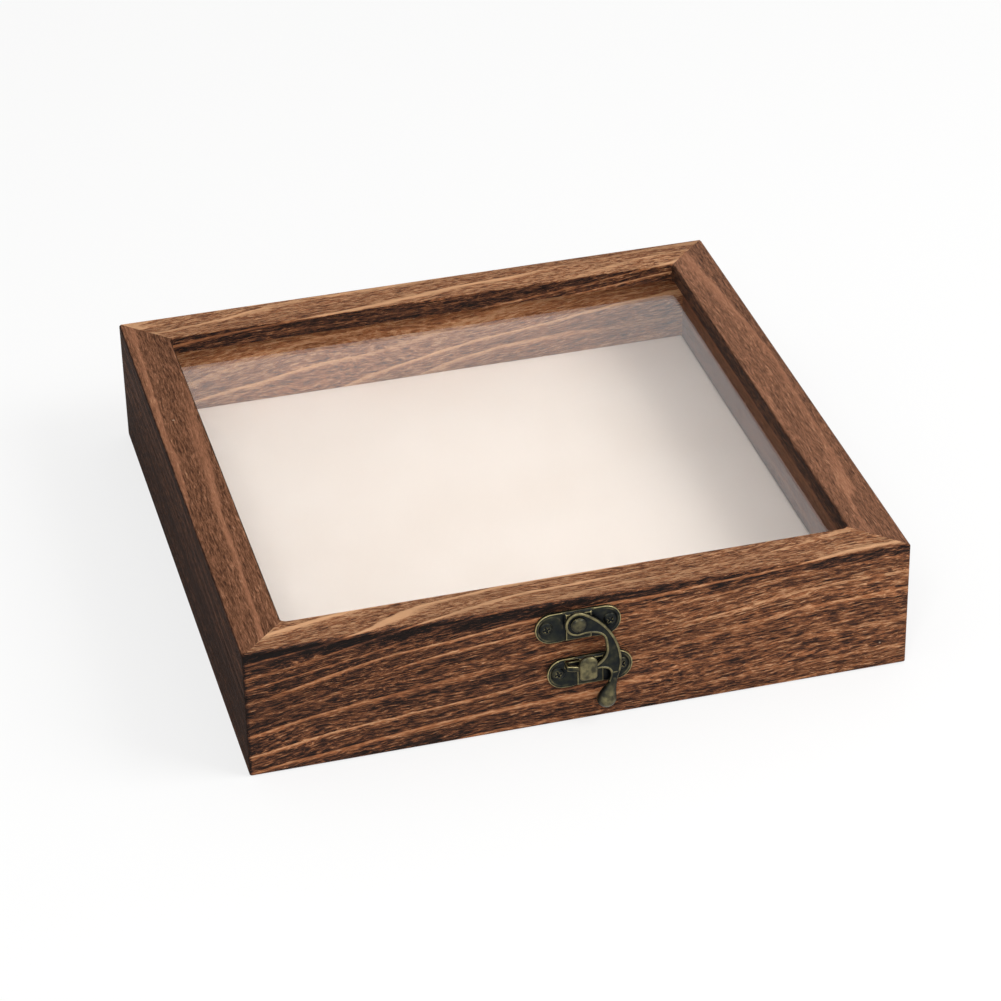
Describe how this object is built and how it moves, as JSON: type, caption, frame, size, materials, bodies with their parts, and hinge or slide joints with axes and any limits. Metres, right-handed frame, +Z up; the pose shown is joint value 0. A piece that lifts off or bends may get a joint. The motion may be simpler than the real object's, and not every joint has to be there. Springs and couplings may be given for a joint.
{
  "type": "insect display case",
  "caption": "Square wooden display case with a glazed hinged lid, a pale pinning pad inside and a swing-hook latch on the front.",
  "frame": {"origin": "centre of the underside, on the surface that the case rests on", "axes": "+X to the right along the front, +Y from the front (latch) to the back (hinges), +Z up"},
  "size_m": [0.25, 0.2594, 0.052],
  "materials": {
    "charred_wood": "satin",
    "bottom_plywood": "matte",
    "pinning_foam": "matte",
    "clear_glass": "polished",
    "antique_bronze": "satin"
  },
  "bodies": {
    "base": {"base_front_board": "charred_wood", "base_right_board": "charred_wood", "base_back_board": "charred_wood", "base_left_board": "charred_wood", "bottom_panel": "bottom_plywood", "foam_pad": "pinning_foam", "hinge_left_base_leaf": "antique_bronze", "hinge_right_base_leaf": "antique_bronze", "hinge_base_screws": "antique_bronze", "catch_plate": "antique_bronze", "catch_keeper": "antique_bronze", "catch_screws": "antique_bronze"},
    "lid": {"lid_front_rail": "charred_wood", "lid_right_rail": "charred_wood", "lid_back_rail": "charred_wood", "lid_left_rail": "charred_wood", "glass_pane": "clear_glass", "hinge_left_lid_leaf": "antique_bronze", "hinge_right_lid_leaf": "antique_bronze", "hinge_left_pin": "antique_bronze", "hinge_right_pin": "antique_bronze", "hinge_lid_screws": "antique_bronze", "latch_plate": "antique_bronze", "latch_screws": "antique_bronze", "pivot_rivet": "antique_bronze"},
    "latch_hook": {"swing_hook": "antique_bronze"}
  },
  "joints": [
    {"name": "lid_hinge", "type": "hinge", "parent": "base", "child": "lid", "pos_m": [0, 0.1266, 0.0335], "axis": [-1, 0, 0], "range_deg": [0, 180]},
    {"name": "hook_pivot", "type": "hinge", "parent": "lid", "child": "latch_hook", "pos_m": [-0.003, -0.1281, 0.044], "axis": [0, -1, 0], "range_deg": [0, 95]}
  ]
}
